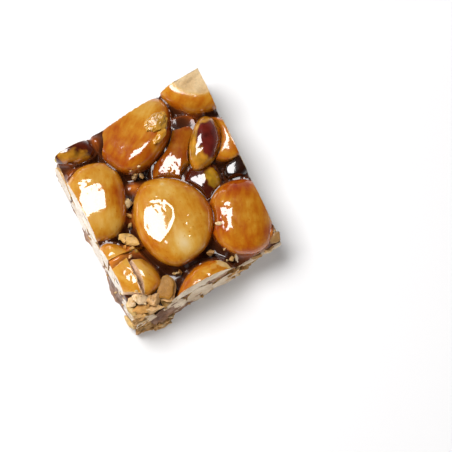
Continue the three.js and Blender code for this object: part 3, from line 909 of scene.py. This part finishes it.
def caramel_skin():
    """One closed skin: a top, craggy walls and an underside of rings, and where it isn't top."""
    points, faces, rows, stretches = caramel_block()
    on_wall = np.zeros(len(points))
    on_wall[np.concatenate(rows[1:])] = 1
    placed = points.copy()
    for side, stretch in zip(SIDES, stretches):
        outward = side_frame(side)[2]
        for row in rows:
            chosen = row[stretch]
            placed[chosen, :2] += outward * wall_offset(side, points[chosen])[:, None]
    start, _, outward, _ = side_frame("front")
    beyond = (placed[:, :2] - start) @ outward - wall_offset("front", placed)
    placed[:, :2] -= outward * (on_wall * np.clip(beyond, 0, None))[:, None]
    outer, edge = rows[-1], placed[rows[-1]]
    for share in UNDERSIDE_RINGS:
        inner = len(placed) + np.arange(len(edge))
        placed = np.concatenate([placed, edge.mean(0) + share * (edge - edge.mean(0))])
        faces.append(ring_quads(outer, inner))
        outer = inner
    on_wall = np.concatenate([on_wall, np.ones(len(placed) - len(on_wall))])
    return placed, [list(face) for group in faces for face in group] + [list(outer[::-1])], on_wall


def caramel():
    points, faces, on_wall = caramel_skin()
    nearest = np.full(len(points), FAR_FROM_NUTS)
    for nut in ALL_NUTS:
        nearest = np.minimum(nearest, np.abs(nut.away(*points[:, :2].T)))
    depth = waves(points, "caramel_depth") - NUT_CLEAR * np.exp(-nearest / NUT_CLEAR_REACH)
    for middle, radius, _, clear in HUMPS:
        depth = depth - clear * spot(points, *middle, radius)
    tones = np.array([paint(tone) for tone in CARAMEL_TONES])
    stops = np.linspace(0, 1, len(tones))
    flesh = np.stack([np.interp(depth, stops, channel) for channel in tones.T], -1)
    # The walls take their colours with painted sheen in them.
    flesh = blend(flesh, shaded(CARAMEL_WALL_AND_SHEEN, tone_of(points, "wall_tone")), on_wall)
    bare = on_wall * np.clip(waves(points, "wall_bare"), *WALL_BARE_LIMITS)
    build("caramel_mass", points, faces, "caramel", nodes=("caramel",), flesh=flesh,
          glaze=np.full(len(points), CARAMEL_GLAZE), bare=bare, grain=points)


# Broken chips of nut: middle, size, turn, tip, colour and glaze
CHIPS = (
    ((-18.9, -18, 11), (4, 2.8, 2.6), -31, 6, CHIP_PALE, 0.1),
    ((-16.4, -19.9, 10.8), (3.8, 3.2, 2.6), -12, 10, CHUNK, 0.1),
    ((-16.9, -21.3, 9.6), (4.4, 2.4, 3), -4, 0, LAYER, 0.08),
    ((-19.8, -19.8, 9.9), (4.4, 2.6, 2.2), -31, -6, GOLD, 0.12),
    ((-17.2, -18.2, 10.2), (2.6, 2.2, 2.2), 40, 10, TAN, 0.1),
    ((-20.9, -17.2, 10), (2.8, 2.2, 2), 60, 0, CHIP_PALE, 0.2),
    ((-20.6, -21, 8.6), (3.4, 2.2, 2.6), 10, 0, LAYER, 0.1),
    ((16, -21.4, 8.6), (3.2, 2.6, 3), -20, 0, LAYER_DARK, 0.1),
    ((-13.9, -6.9, 12), (2.6, 1.6, 1), 130, 0, PISTACHIO_OLIVE, 0.3),
    ((-15.6, -8, 12.2), (1.4, 1, 0.9), 20, 0, CHUNK, 0.1),
    ((-15.2, -5.1, 11.2), (1.5, 1, 1), 110, 0, GOLD, 0.6),
    ((-4, 9.6, 9.8), (2.3, 1.5, 1.1), 30, 0, TAN, 0.1),
    ((-2.4, 9, 9.6), (1.9, 1.2, 1), 70, 0, TAN, 0.15),
    ((1.4, -16.6, 9.4), (1.9, 1.6, 1.2), 15, 0, LAYER_DARK, 0.2),
    ((4.9, -20.4, 9), (1.5, 1.2, 1.1), 40, 0, TAN, 0.2),
    ((-9.1, 4.3, 10.9), (2.4, 2.3, 1.6), 20, 0, CREAM, 0.12),
    ((-10.2, 1.9, 9.6), (2, 1, 0.9), 120, 20, GOLD, 0.2),
    ((-11.4, -0.3, 9.6), (1.5, 1.3, 1.2), 60, 0, TAN, 0.2),
    ((-7.4, -16.8, 9.4), (1.4, 1.1, 1), 30, 0, TOASTED, 0.3),
    ((-14.4, -2, 10.4), (2.2, 1.4, 1.2), 150, 10, CREAM, 0.2),
)
# Thin flakes, which taper to both ends
FLAKES = (
    ((-13.5, -3.8, 11), (5.5, 2.7, 1.3), 123, 0, HUSK, 0.26),
    ((-21.9, -18.6, 9.4), (4, 1.6, 2.4), 97, 0, CREAM, 0.3),
    ((-23.2, -18.9, 2), (4.4, 1.3, 3.6), 95, 0, CREAM, 0.3),
    ((6.6, -12.5, 12.8), (2.2, 1, 0.8), 149, 0, CREAM, 0.1),
)
# Flat broken plates
PLATES = (
    ((-12.2, -18.7, 10.9), (5.7, 3.9, 0.9), 44, -4, PLATE, 0.5),
    ((-12.2, -19.2, 10.2), (5.8, 4.2, 0.8), 52, -4, CHUNK, 0.1),
)
# Chips of pistachio that lie on the almond at the back: middle seen from above, then as for the others
GREEN_CHIPS = (
    ((6.9, 17), (6.2, 4, 1.9), 8, 8, PISTACHIO_PALE, 0.3),
    ((5.6, 13.4), (4.4, 1.8, 1.3), 22, 4, PISTACHIO_PALE, 0.4),
)
GREEN_CHIP_LIFT = 0.1

# A shard is the hull of a few points. Edges longer than this are halved, round after round.
SHARD_POINTS = 16
SHARD_BEVEL = 0.1
SHARD_EDGE = 0.45
SHARD_ROUNDS = 3
# A flake's raggedness changes less with height. It narrows and curls up towards its ends.
FLAKE_EDGE = (1, 1, 0.2)
FLAKE_TAPER = 0.3
FLAKE_CURL = 0.08
# A plate's outline is a superellipse of this power with waves: how many, how high and their turn by seed.
# It is flattened by drawing out its middle, by this power and at most so much.
PLATE_POWER = 3
PLATE_WAVES = ((3, 0.05, 1), (5, 0.04, 2))
PLATE_FLATNESS = 0.5
PLATE_SPREAD = 3
# Unevenness of a chip: its length as a share of the chip's, its layers and the seed for each direction
CHIP_SHAKE = 0.35
SHAKE_LAYERS = 3
SHAKE_SEEDS = (1, 2, 3)
CHIP_SHADE = 0.62


def from_least(corners):
    """The corners of a face from the least on, so that their order can be the same in every run."""
    start = corners.index(min(corners))
    return corners[start:] + corners[:start]


def shard(rng, size):
    """A broken chunk with flat faces and softened edges."""
    cloud = rng.uniform(-1, 1, (SHARD_POINTS, 3))
    low, top = cloud.min(0), cloud.max(0)
    body = bmesh.new()
    for point in ((cloud - low) / (top - low) - 0.5) * np.array(size):
        body.verts.new(point)
    hull = bmesh.ops.convex_hull(body, input=body.verts)
    bmesh.ops.delete(body, geom=[part for part in hull["geom_interior"] if part.is_valid], context="VERTS")
    bmesh.ops.bevel(body, geom=body.edges[:], offset=SHARD_BEVEL * min(size), segments=2, affect="EDGES",
                    profile=0.5, clamp_overlap=True)
    for _ in range(SHARD_ROUNDS):
        bmesh.ops.triangulate(body, faces=body.faces[:])
        long_edges = [edge for edge in body.edges if edge.calc_length() > SHARD_EDGE]
        bmesh.ops.subdivide_edges(body, edges=long_edges, cuts=1, use_grid_fill=True)
    body.verts.index_update()
    points = np.clip([vert.co[:] for vert in body.verts], -0.5 * np.array(size), 0.5 * np.array(size))
    faces = [[vert.index for vert in face.verts] for face in body.faces]
    body.free()
    return points, sorted(from_least(face) for face in faces)


def lump(size, seed):
    """A broken lump with a crumbled surface."""
    ball, faces = SMALL_BALL
    return ball * np.array(size) / 2 * waves(ball, "lump_size", seed)[:, None], faces.tolist()


def flake(size, seed):
    """A thin lens with ragged edges that tapers to both ends."""
    ball, faces = COARSE_BALL
    own = ball * np.array(size) / 2 * waves(ball * FLAKE_EDGE, "flake_size", seed)[:, None]
    own[:, 1] *= 1 - FLAKE_TAPER * ball[:, 0] ** 2
    own[:, 2] += FLAKE_CURL * size[0] * ball[:, 0] ** 2
    return own, faces.tolist()


def plate(size, seed):
    """A flat plate with an angular outline."""
    ball, faces = SMALL_BALL
    angle = np.arctan2(ball[:, 1], ball[:, 0])
    square = np.abs(np.cos(angle)) ** PLATE_POWER + np.abs(np.sin(angle)) ** PLATE_POWER
    square = square ** (-1 / PLATE_POWER)
    corners = sum(height * np.cos(count * angle + shift * seed) for count, height, shift in PLATE_WAVES)
    corners = corners + waves(ball * (1, 1, 0), "plate_edge", seed)
    from_middle = np.hypot(ball[:, 0], ball[:, 1])
    own = ball * np.array(size) / 2 * (1 + from_middle * (square - 1 + corners))[:, None]
    own[:, :2] *= (from_middle ** -PLATE_FLATNESS)[:, None].clip(max=PLATE_SPREAD)
    return own, faces.tolist()


def heap(name, rows, slot, bare, seed, form=None, grit=0.09):
    """Joins chips into one piece. grit is how uneven they are, as a share of their thickness."""
    rng = np.random.default_rng(seed)
    points, faces, flesh, glaze = [], [], [], []
    count = 0
    for number, (at, size, turn, tip, colour, cover) in enumerate(rows):
        own, own_faces = form(size, seed + number) if form else shard(rng, size)
        length = CHIP_SHAKE * max(size)
        shake = np.column_stack([rough(own, length, first + number, SHAKE_LAYERS) for first in SHAKE_SEEDS])
        own = own + grit * min(size) * shake
        placed = own @ (turn_z(turn) @ turn_y(tip)).T + np.array(at)
        points.append(placed)
        faces += [[corner + count for corner in face] for face in own_faces]
        flesh.append(blend(paint(colour), CHIP_SHADE * paint(colour), tone_of(placed, "chip_tone", number)))
        glaze.append(np.full(len(own), cover))
        count += len(own)
    points = np.concatenate(points)
    points[:, 2] = np.maximum(points[:, 2], ABOVE_FLOOR)
    build(name, points, faces, slot, sharp=CHIP_SHARP_ANGLE, flesh=np.concatenate(flesh),
          glaze=np.concatenate(glaze), bare=np.full(count, bare), grain=points)


# Crumbs. Pairs are ranges that sizes, turns and tips are drawn from.
CRUMB_COLOURS = (CREAM, TAN, CHUNK, LAYER)
CRUMB_WIDTH = (0.5, 0.9)
CRUMB_TURN = (0, 180)
CRUMB_GLAZE = 0.15
# Crumbs strewn round a place: x, y, reach and how many
STREWN = ((-18.2, -18.6, 2.6, 10), (-13.6, -3, 1.4, 3), (-3.2, 9.2, 1.4, 4), (-7.6, -17, 1, 3),
          (3.4, -19, 2, 3))
STREWN_SEED = 23
STREWN_SIZE = (0.4, 1)
STREWN_HEIGHT = 0.5
STREWN_TIP = (-20, 20)
TOP_REACH = 0.45
# Crumbs on the cut sides
WALL_CRUMBS = {"front": 16, "right": 30, "back": 30, "left": 10}
WALL_SEED = 19
WALL_SIZE = (0.5, 1.3)
WALL_THICKNESS = (0.4, 0.8)
WALL_TIP = (-40, 40)
WALL_LEVEL = (0.6, 8.2)
WALL_STAND = 0.1
WALL_END = 0.5
# Broken layers of nut on the front side: first and last distance along it, lowest, highest and how many
CORNER_LAYERS = ((0, 2.8, 0.6, 9, 26), (2.4, 8.4, 0.4, 1.8, 12), (-0.6, 0.4, 3, 8, 4), (32, 37.6, 4, 8.4, 12),
                 (24, 37.4, 0.8, 5.5, 24))
LAYER_COLOURS = (CHUNK, CHUNK, LAYER, LAYER_DARK, CREAM)
LAYER_SIZE = ((1.6, 3.4), (0.9, 1.5), (0.7, 1.3))
LAYER_TURN = (-14, 14)
LAYER_TIP = (-12, 12)
LAYER_GLAZE = 0.1


def top_at(x, y):
    """Height of what has been built so far, at a place seen from above."""
    near = [np.hypot(surface[:, 0] - x, surface[:, 1] - y) < TOP_REACH for surface in SURFACES]
    heights = [surface[chosen, 2] for surface, chosen in zip(SURFACES, near)]
    return max((found.max() for found in heights if len(found)), default=CARAMEL_LEVEL)


def pick(rng, colours):
    return colours[rng.integers(len(colours))]


def strewn_crumbs():
    """Small crumbs that came to rest on whatever is under them."""
    rng = np.random.default_rng(STREWN_SEED)
    rows = []
    for x, y, reach, number in STREWN:
        for _ in range(number):
            at_x, at_y = x + reach * rng.uniform(-1, 1), y + reach * rng.uniform(-1, 1)
            long = rng.uniform(*STREWN_SIZE)
            colour = pick(rng, CRUMB_COLOURS)
            size = (long, long * rng.uniform(*CRUMB_WIDTH), STREWN_HEIGHT * long)
            at, turn = (at_x, at_y, top_at(at_x, at_y)), rng.uniform(*CRUMB_TURN)
            rows.append((at, size, turn, rng.uniform(*STREWN_TIP), colour, CRUMB_GLAZE))
    return rows


def wall_place(side, run, height, stand):
    """A place on a side, so far along it from its start, and standing so far out of the caramel."""
    start, along, outward, _ = side_frame(side)
    place = start + along * run
    out = wall_offset(side, np.array([[*place, height]]))[0]
    return (*(place + outward * (out + stand)), height)


def wall_crumbs():
    """Crumbs on the cut sides and broken layers on the front side."""
    rng = np.random.default_rng(WALL_SEED)
    rows = []
    for side in SIDES:
        start, _, _, middle = side_frame(side)
        end = 2 * np.linalg.norm(middle - start) - WALL_END
        for _ in range(WALL_CRUMBS[side]):
            long = rng.uniform(*WALL_SIZE)
            run = rng.uniform(WALL_END, end)
            at = wall_place(side, run, rng.uniform(*WALL_LEVEL), WALL_STAND)
            colour = pick(rng, CRUMB_COLOURS)
            size = (long, long * rng.uniform(*CRUMB_WIDTH), long * rng.uniform(*WALL_THICKNESS))
            turn = rng.uniform(*CRUMB_TURN)
            rows.append((at, size, turn, rng.uniform(*WALL_TIP), colour, CRUMB_GLAZE))
    ahead = compass(side_frame("front")[1])
    for first, last, low, high, number in CORNER_LAYERS:
        for _ in range(number):
            at = wall_place("front", rng.uniform(first, last), rng.uniform(low, high), 0)
            size = tuple(rng.uniform(*limits) for limits in LAYER_SIZE)
            colour = pick(rng, LAYER_COLOURS)
            turn = ahead + rng.uniform(*LAYER_TURN)
            rows.append((at, size, turn, rng.uniform(*LAYER_TIP), colour, LAYER_GLAZE))
    return rows


def chips():
    green = [((x, y, top_at(x, y) + GREEN_CHIP_LIFT), *rest) for (x, y), *rest in GREEN_CHIPS]
    heap("pistachio_chips", green, "glazed_pistachio", bare=0.3, seed=11, form=lump)
    heap("nut_chips", CHIPS, "cut_nut", bare=0.8, seed=7, grit=0.05)
    heap("nut_flakes", FLAKES, "cut_nut", bare=0.86, seed=17, form=flake, grit=0.03)
    heap("nut_plates", PLATES, "cut_nut", bare=0.9, seed=31, form=plate, grit=0.03)
    heap("strewn_crumbs", strewn_crumbs(), "cut_nut", bare=0.9, seed=29)
    heap("wall_crumbs", wall_crumbs(), "cut_nut", bare=0.9, seed=13)


# Camera of the photograph: a long lens high over the front left, rolled
PICTURE = 452
PIXELS_PER_MM = 4.2
LENS, SENSOR = 400.0, 36.0
CLIP_START, CLIP_END = 0.01, 20
AZIMUTH, ELEVATION, ROLL = -20.0, 72.0, 12.0
# A point of the plan and the pixel that shows it
SEEN_POINT, SEEN_AT = np.array([-0.641, -0.535, 11.0]), (168, 201)

# Studio, in metres
WHITE = (1, 1, 1, 1)
FLOOR_REACH = 3.0
FLOOR_LOOK = {"Base Color": (0.6, 0.6, 0.6, 1), "Roughness": 0.9, "Specular IOR Level": 0.1,
              "Emission Color": WHITE, "Emission Strength": 0.19}
SOFTBOX_TOWARD = (-0.18, 0.40, 0.90)
SOFTBOX_FAR = 0.6
SOFTBOX_HALF_ANGLE = 18.5
SOFTBOX_POWER = 6.1
SOFTBOX_COLOUR = (1, 0.985, 0.99)
# Cards that light the sides: name, compass angle at which it stands and power
CARDS = (("front_card", 262, 7.4), ("left_card", 172, 6.5))
CARD_SIZE = (1.4, 0.24)
CARD_FAR = 1.1
CARD_RISE = 0.13
# The surroundings darken upwards: upward part of a direction at the start and end, and the strength there
SURROUNDINGS = (0.05, 0.6, 0.32, 0.03)


def pose(axes, at):
    """Matrix with its axes in columns, at a place."""
    matrix = Matrix.Identity(4)
    for column, parts in enumerate((*axes, at)):
        for row in range(3):
            matrix[row][column] = parts[row]
    return matrix


def camera():
    """Makes the camera and gives the direction to the right of its picture."""
    a, e, r = (radians(angle) for angle in (AZIMUTH, ELEVATION, ROLL))
    back = np.array([sin(a) * cos(e), -cos(a) * cos(e), sin(e)])
    level = np.array([cos(a), sin(a), 0])
    upright = np.cross(back, level)
    right = cos(r) * level - sin(r) * upright
    up = sin(r) * level + cos(r) * upright
    target = SEEN_POINT + SHIFT
    target = target + (PICTURE / 2 - SEEN_AT[0]) / PIXELS_PER_MM * right
    target = target - (PICTURE / 2 - SEEN_AT[1]) / PIXELS_PER_MM * up
    distance = PICTURE * LENS / SENSOR / PIXELS_PER_MM
    data = bpy.data.cameras.new("camera")
    data.lens, data.sensor_width = LENS, SENSOR
    data.clip_start, data.clip_end = CLIP_START, CLIP_END
    made = add("camera", data)
    made.matrix_world = pose((right, up, back), (target + distance * back) * MM)
    bpy.context.scene.camera = made
    return right


def stage_floor():
    mesh = bpy.data.meshes.new("floor")
    corners = [(x * FLOOR_REACH, y * FLOOR_REACH, 0) for x, y in ((-1, -1), (1, -1), (1, 1), (-1, 1))]
    mesh.from_pydata(corners, [], [(0, 1, 2, 3)])
    pale = bpy.data.materials.new("floor")
    fill(Shading(pale).shader, FLOOR_LOOK)
    mesh.materials.append(pale)
    floor = add("floor", mesh)


def area_light(name, power, width, height):
    lamp = bpy.data.lights.new(name, "AREA")
    lamp.shape = "RECTANGLE"
    lamp.size, lamp.size_y = width, height
    lamp.energy = power
    return add(name, lamp)


def softbox(right):
    """Square light over the slab, level with the picture."""
    toward = Vector(SOFTBOX_TOWARD).normalized()
    size = 2 * SOFTBOX_FAR * tan(radians(SOFTBOX_HALF_ANGLE))
    made = area_light("softbox", SOFTBOX_POWER, size, size)
    made.data.color = SOFTBOX_COLOUR
    aside = Vector(right) - toward * toward.dot(Vector(right))
    aside.normalize()
    made.matrix_world = pose((aside, toward.cross(aside), toward), [part * SOFTBOX_FAR for part in toward])


def cards():
    """Lights that fill the sides without showing in the glaze."""
    for name, facing, power in CARDS:
        card = area_light(name, power, *CARD_SIZE)
        away = Vector((cos(radians(facing)), sin(radians(facing)), CARD_RISE))
        card.location = CARD_FAR * away
        card.rotation_euler = away.to_track_quat("Z", "Y").to_euler()
        card.visible_glossy = False


def surroundings():
    world = bpy.data.worlds.new("studio")
    bpy.context.scene.world = world
    look = Shading(world, "Background")
    parts = look.node("SeparateXYZ")
    look.put(look.node("TexCoord").outputs["Generated"], parts.inputs[0])
    strength = look.spread(parts.outputs["Z"], *SURROUNDINGS, interpolation_type="SMOOTHSTEP")
    look.put(strength, look.shader["Strength"])
    fill(look.shader, {"Color": WHITE})
    bpy.context.scene.view_settings.view_transform = "Standard"
    bpy.context.scene.view_settings.look = "None"


top_nuts()
side_nuts()
caramel()
chips()
view_right = camera()
stage_floor()
softbox(view_right)
cards()
surroundings()
